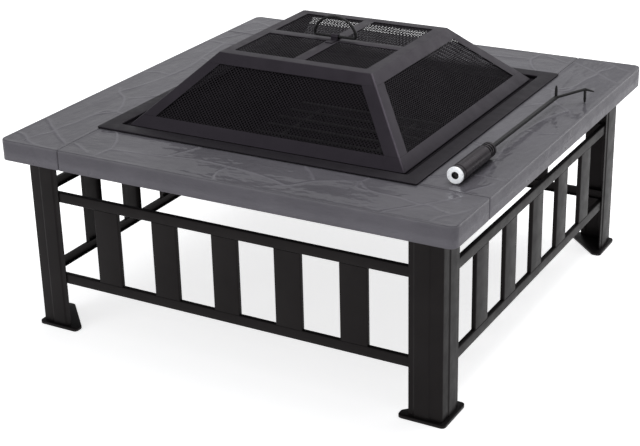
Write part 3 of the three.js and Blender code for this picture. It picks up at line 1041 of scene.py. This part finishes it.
def crossing_paths(outline, pitch, rise):
    """Two families of slanting paths that pass over and under each other inside a
    convex outline drawn anticlockwise."""
    spacing = pitch * math.sqrt(2.0)
    reach = max(abs(c) for point in outline for c in point) * 2.0
    edges = [(Vector(a), Vector(b)) for a, b in zip(outline, outline[1:] + outline[:1])]
    paths = []
    for lean in (1.0, -1.0):
        way = Vector((1.0, lean))
        for n in range(-math.ceil(reach / spacing), math.ceil(reach / spacing) + 1):
            start, enter, leave = Vector((n * spacing, 0.0)), -reach, reach
            for a, b in edges:
                inward = Vector((a.y - b.y, b.x - a.x))
                speed, margin = way.dot(inward), (start - a).dot(inward)
                if abs(speed) < 1e-12:
                    leave = leave if margin > 0 else enter
                elif speed > 0:
                    enter = max(enter, -margin / speed)
                else:
                    leave = min(leave, -margin / speed)
            if leave - enter < pitch / 2:
                continue
            # The other family crosses at every half spacing, by turns above and below.
            path = [(*(start + way * enter), 0.0)]
            half = spacing / 2
            for m in range(math.ceil(enter / half), math.floor(leave / half) + 1):
                if min(m * half - enter, leave - m * half) > pitch / 5:
                    over = lean if m % 2 == 0 else -lean
                    path.append((*(start + way * (m * half)), rise * over))
            path.append((*(start + way * leave), 0.0))
            paths.append((path, False))
    return paths


class FIREPIT_OT_screen_wire(Operator):
    """Weaves the wire of the four sides and the top of the screen"""

    bl_idname = "fire_pit.screen_wire"
    bl_label = "Screen Wire"

    def execute(self, context):
        half, slant, _, _ = screen_shape()
        # How far the wire keeps inside its box, its slanting edges and the sheet.
        clear, inset, behind = 0.001, 0.011, 0.0007
        depth = sizes().screen_sheet + behind
        low, high = (corner.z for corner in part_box("screen_mesh_front"))
        low, high = low + clear, high - clear
        climb = (high - low) / math.sin(slant)
        outline = [(-half(low) + inset, 0.0), (half(low) - inset, 0.0),
                   (half(high) - inset, climb), (-half(high) + inset, climb)]
        for quarter, side in enumerate(SIDES):
            self.weave(side, outline, (0.0, -half(low, depth), low), slant, quarter)
        low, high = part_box("screen_mesh_top")
        reach = high.x - clear
        outline = [(-reach, -reach), (reach, -reach), (reach, reach), (-reach, reach)]
        self.weave("top", outline, (0.0, 0.0, (low.z + high.z) / 2), 0.0, 0)
        return {"FINISHED"}

    def weave(self, side, outline, place, slant, quarter):
        """Wire that fills a flat outline, set in its place on the screen."""
        thickness = sizes().wire_thickness
        paths = crossing_paths(outline, sizes().wire_pitch, thickness / 2)
        wire = grown_mesh(
            path_mesh("wire", paths), "Woven wire", Width=sizes().wire_width,
            Thickness=thickness, Tilt=(slant, 0.0, 0.0), Place=place,
            Turn=(0.0, 0.0, math.pi / 2 * quarter))
        put_piece(f"woven_wire_{side}", wire, *SCREEN_WIRE, [f"screen_mesh_{side}"],
                  sharp=60.0)


class FIREPIT_OT_handle(Operator):
    """Bends the handle ring and the strap that it turns in"""

    bl_idname = "fire_pit.handle"
    bl_label = "Handle Ring"

    def execute(self, context):
        low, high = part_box("handle_ring")
        rod, bend = sizes().ring_rod, 0.0045
        axis, reach = low.z + rod / 2, high.x - rod / 2
        rise = high.z - rod / 2 - axis
        arch = [(reach * math.cos(t), 0.0, axis + rise * math.sin(t))
                for t in np.radians(np.linspace(14.0, 166.0, 39))]
        path = rounded_path([(reach, 0.0, axis), *arch, (-reach, 0.0, axis)],
                            [bend] + [0.0] * len(arch) + [bend], closed=True, steps=6)
        mesh = grown_mesh(path_mesh("ring", [(path, True)]), "Bent rod", Diameter=rod,
                          Sides=16)
        put_piece("bent_ring", mesh, "rod paint", "ring", "ring_black", ["handle_ring"],
                  sharp=60.0)
        low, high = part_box("handle_strap")
        sheet, clearance, toe = sizes().screen_sheet, 0.0005, 0.0012
        saddle = rod / 2 + clearance + sheet
        base, crown = low.z + sheet, axis + saddle
        section = sheet_section(
            ((low.y, base), (-saddle, base), (-saddle, crown), (saddle, crown),
             (saddle, base), (high.y, base)),
            [0.0, toe, saddle, saddle, toe, 0.0], -sheet, steps=8)
        mesh = solid_mesh("strap", stretched(section, (low.x, high.x), lengthways))
        put_piece("bent_strap", mesh, *SCREEN_METAL, ["handle_strap"])
        return {"FINISHED"}


# Poker


class FIREPIT_OT_poker(Operator):
    """Turns the poker's cap, grip and ferrule and bends its prongs"""

    bl_idname = "fire_pit.poker"
    bl_label = "Poker"

    # Radii, and where each part ends along the poker from the face of its cap.
    cap, cap_end, hole = 0.0142, 0.012, 0.006
    grip, grip_end = 0.014, 0.108
    ferrule, ferrule_end = 0.0132, 0.132
    axis = Matrix.Translation((0.360, -0.278, 0.3765)) @ Matrix.Rotation(
        math.radians(-0.8), 4, "Z")

    def along(self, across, up, distance):
        """A place on the poker, measured along it from the face of its cap."""
        return self.axis @ Vector((across, distance, up))

    def execute(self, context):
        self.put_cap()
        self.put_grip()
        self.put_rods()
        return {"FINISHED"}

    def put_turned(self, name, profile, look, slot, node, sharp, others, choose):
        """Turns a part of the poker. Its other looks go where the choice, made from a
        face's radius and distance along, is more than 0."""
        mesh = solid_mesh(name, turned_solid(profile, self.along))
        piece = put_piece(name, mesh, look, "poker", slot, [node], sharp)
        for other in others:
            piece.data.materials.append(finish(other))
        unplaced = self.axis.inverted()
        for face in piece.data.polygons:
            middle = unplaced @ face.center
            face.material_index = choose(math.hypot(middle.x, middle.z), middle.y)

    def put_cap(self):
        """The end cap: a plated face with a hole, where the rod's round end shows."""
        cap, end, hole, ease, tip = self.cap, self.cap_end, self.hole, 0.0012, 0.0024
        shade_band_start, shade_band_end, hole_floor = 0.0030, 0.0058, 0.008

        # Lacquer on the rod's end in the hole, dark rod paint as painted shade on the hole's
        # walls and as a painted shadow band behind the face, chrome on the face, lacquer on the
        # rest of the side.
        def choose(radius, distance):
            if radius < tip:
                return 1
            if radius < hole or shade_band_start < distance < shade_band_end:
                return 2
            return 1 if distance > shade_band_end else 0

        profile = (
            (0.0, 0.0046), (0.0010, 0.0048), (0.0019, 0.0055), (0.0023, 0.0066),
            (tip, hole_floor), (hole - 0.0015, hole_floor), (hole, 0.0068),
            (hole, ease * 0.6), (hole + ease * 0.6, 0.0), (cap - ease, 0.0),
            (cap - ease * 0.3, ease * 0.3), (cap, ease), (cap, shade_band_start),
            (cap, shade_band_end), (cap, end - 0.0005), (cap - 0.0005, end), (0.0, end))
        # Only the turned end face is plated. The hole's walls are dark as painted shade in the
        # recess, a dark band round the side just behind the face is a painted shadow, and the
        # lacquer follows it.
        self.put_turned("bright_cap", profile, "chrome", "cap_chrome", "poker_end_cap",
                        24.0, ("grip lacquer", "rod paint"), choose)

    def put_grip(self):
        """The grip and its ribbed ferrule."""
        grip, grip_end, start = self.grip, self.grip_end, self.cap_end
        ferrule, end = self.ferrule, self.ferrule_end
        profile = [(0.0, start), (grip - 0.0009, start), (grip - 0.0009, start + 0.0016),
                   (grip, start + 0.0024), (grip, grip_end - 0.0014),
                   (grip - 0.0014, grip_end)]
        ribs = sizes().ferrule_ribs
        rib = (end - grip_end - 0.003) / ribs
        # The depth of each rib's groove and crown, at shares of its length.
        for n in range(ribs):
            profile += [(ferrule - depth, grip_end + (n + share) * rib)
                        for depth, share in ((0.0020, 0.08), (0.0020, 0.38),
                                             (0.0003, 0.46), (0.0, 0.65), (0.0003, 0.92))]
        profile += [(ferrule - 0.0004, end - 0.0016), (ferrule - 0.0020, end),
                    (0.0040, end), (0.0, end)]

        def choose(radius, distance):
            shaded_groove = radius < ferrule - 0.0010
            return int(distance > grip_end and (shaded_groove or distance > end - 0.0030))

        # The ferrule's grooves are painted dark as shade, and its end is dark too.
        self.put_turned("poker_handle", profile, "grip lacquer", "grip_grey",
                        "poker_grip", 32.0, ("rod paint",), choose)

    def put_rods(self):
        """The square bar, and the prongs welded to its end."""
        start = self.ferrule_end - 0.004
        bar, corner, prong, tip = 0.003, 0.0009, 0.005, self.ferrule_end + 0.292
        outline = rounded_path(((-bar, -bar), (bar, -bar), (bar, bar), (-bar, bar)),
                               corner, closed=True, steps=3)
        # The far end is drawn in a little.
        shaft = solid_mesh("bar", stretched(
            outline, ((start, 1.0), (tip - 0.0008, 1.0), (tip, 0.75)),
            lambda a, b, station: self.along(a * station[1], b * station[1], station[0])))
        fork = (0.040, tip + 0.034, 0.010)
        centre = tip - bar

        def place(x, y, z):
            return tuple(self.along(x, z, y))

        up = [place(0, centre, z) for z in (0.0, 0.008, 0.015, 0.019, 0.022)]
        side = rounded_path((
            place(0, centre, 0), place(*fork),
            place(fork[0] + 0.017, fork[1], fork[2] - 0.002)), 0.004, steps=6)
        toe = [place(*fork[:2], z) for z in (fork[2], 0.0, -0.0080, -0.0125, -0.0142)]
        # The prongs taper to their tips, over the last points of each.
        up_end, side_end = len(up), len(up) + len(side)
        toe_end = side_end + len(toe)
        tips = ((up_end - 2, 0.8), (up_end - 1, 0.45), (side_end - 1, 0.45),
                (toe_end - 2, 0.8), (toe_end - 1, 0.45))
        prongs = grown_mesh(
            path_mesh("prongs", [(up, False), (side, False), (toe, False)], tips),
            "Bent rod", Diameter=prong, Sides=14)
        put_piece("poker_rods", joined("poker rods", shaft, prongs), "rod paint", "poker",
                  "poker_black", ["poker_shaft"], sharp=50.0)


# Stage

# Each soft light's place, size in metres and power in watts.
SOFT_LIGHTS = (
    ("overhead light", (0.4, 0.9, 3.3), 2.6, 66.0),
    ("back wall", (-2.4, 4.0, 2.3), 3.0, 5.0),
    ("back light", (1.1, 3.9, 2.5), 2.4, 15.0),
    ("front light", (-1.8, -3.4, 1.6), 2.0, 22.0),
)


def put_light(name, kind, place, aim, power, **settings):
    """A lamp that points at a place."""
    light = bpy.data.lights.new(name, kind)
    light.energy = power
    for key, value in settings.items():
        setattr(light, key, value)
    lamp = new_object(name, light)
    lamp.location = place
    lamp.rotation_euler = (Vector(aim) - Vector(place)).to_track_quat("-Z", "Y").to_euler()
    return lamp


class FIREPIT_OT_stage(Operator):
    """Sets out the floor, the soft lights and the camera"""

    bl_idname = "fire_pit.stage"
    bl_label = "Stage"

    def execute(self, context):
        self.put_floor()
        self.put_backdrop(context.scene)
        for name, place, size, power in SOFT_LIGHTS:
            lamp = put_light(name, "AREA", place, (0.0, 0.0, 0.3), power, shape="SQUARE",
                             size=size)
            lamp.visible_camera = False
        # A narrow lamp from low in front picks out the bright end of the poker.
        cap = FIREPIT_OT_poker.axis.translation
        put_light("cap light", "SPOT", cap + Vector((-0.1, -1.7, 0.16)), cap, 60.0,
                  shadow_soft_size=0.02, spot_size=math.radians(2.0), spot_blend=0.6)
        self.put_camera(context.scene)
        context.scene.view_settings.view_transform = "Standard"
        return {"FINISHED"}

    def put_floor(self):
        """A wide round floor."""
        radius, sides = 14.0, 64
        mesh = bpy.data.meshes.new("floor")
        rim = [(radius * math.cos(t), radius * math.sin(t), 0.0)
               for t in np.linspace(0.0, 2 * math.pi, sides, endpoint=False)]
        mesh.from_pydata(rim, [], [tuple(range(sides))])
        mesh.materials.append(new_finish("pale floor", floor_finish))
        new_object("floor", mesh)

    def put_backdrop(self, scene):
        """A backdrop seen as white paper, that lights the table only softly."""
        lit, seen = 0.36, 1.0
        world = bpy.data.worlds.new("studio")
        world.use_nodes = True
        tree = world.node_tree
        view = add_node(tree, "ShaderNodeLightPath", {}, out="Is Camera Ray")
        fill_sockets(tree, tree.nodes["Background"], {
            "Color": (0.97, 0.98, 1.0, 1.0),
            "Strength": spread(tree, view, lit, seen, 0.0, 1.0)})
        scene.world = world

    def put_camera(self, scene):
        """A long lens above the front right corner of the table."""
        camera = bpy.data.cameras.new("camera")
        camera.lens, camera.sensor_width = 83.22, 36.0
        camera.shift_x, camera.shift_y = 0.0406, -0.0312
        camera.clip_start, camera.clip_end = 0.05, 60.0
        turn, rise, roll = (math.radians(angle) for angle in (30.72, 22.66, -1.8))
        aim, distance = Vector((-0.0730, -0.0402, 0.1614)), 2.7714
        facing = (Matrix.Rotation(turn, 4, "Z")
                  @ Matrix.Rotation(math.pi / 2 - rise, 4, "X"))
        back = facing @ Vector((0.0, 0.0, 1.0))
        viewer = new_object("camera", camera)
        viewer.matrix_world = (Matrix.Translation(aim + back * distance) @ facing
                               @ Matrix.Rotation(roll, 4, "Z"))
        scene.camera = viewer


class FIREPIT_PT_build(Panel):
    """Lists the pieces in the order in which they are built"""

    bl_idname = "FIREPIT_PT_build"
    bl_label = "Fire Pit Table"
    bl_space_type = "VIEW_3D"
    bl_region_type = "UI"
    bl_category = "Fire Pit"

    def draw(self, context):
        column = self.layout.column(align=True)
        for operator in OPERATORS:
            column.operator(operator.bl_idname)
        for group in (context.scene.fire_pit_sizes, context.scene.fire_pit_colours):
            box = self.layout.box()
            for name in group.__annotations__:
                box.prop(group, name)


OPERATORS = (
    FIREPIT_OT_table_panels, FIREPIT_OT_legs, FIREPIT_OT_foot_plates, FIREPIT_OT_rails,
    FIREPIT_OT_slats, FIREPIT_OT_bowl, FIREPIT_OT_log_grate, FIREPIT_OT_screen_frame,
    FIREPIT_OT_screen_wire, FIREPIT_OT_handle, FIREPIT_OT_poker, FIREPIT_OT_stage,
)
CLASSES = (FirePitSizes, FirePitColours, *OPERATORS, FIREPIT_PT_build)


def register():
    for kind in CLASSES:
        bpy.utils.register_class(kind)
    bpy.types.Scene.fire_pit_sizes = PointerProperty(type=FirePitSizes)
    bpy.types.Scene.fire_pit_colours = PointerProperty(type=FirePitColours)


def unregister():
    del bpy.types.Scene.fire_pit_colours
    del bpy.types.Scene.fire_pit_sizes
    for kind in reversed(CLASSES):
        bpy.utils.unregister_class(kind)


def main():
    register()
    bpy.ops.fire_pit.table_panels()
    bpy.ops.fire_pit.legs()
    bpy.ops.fire_pit.foot_plates()
    bpy.ops.fire_pit.rails()
    bpy.ops.fire_pit.slats()
    bpy.ops.fire_pit.bowl()
    bpy.ops.fire_pit.log_grate()
    bpy.ops.fire_pit.screen_frame()
    bpy.ops.fire_pit.screen_wire()
    bpy.ops.fire_pit.handle()
    bpy.ops.fire_pit.poker()
    bpy.ops.fire_pit.stage()


if __name__ == "__main__":
    main()
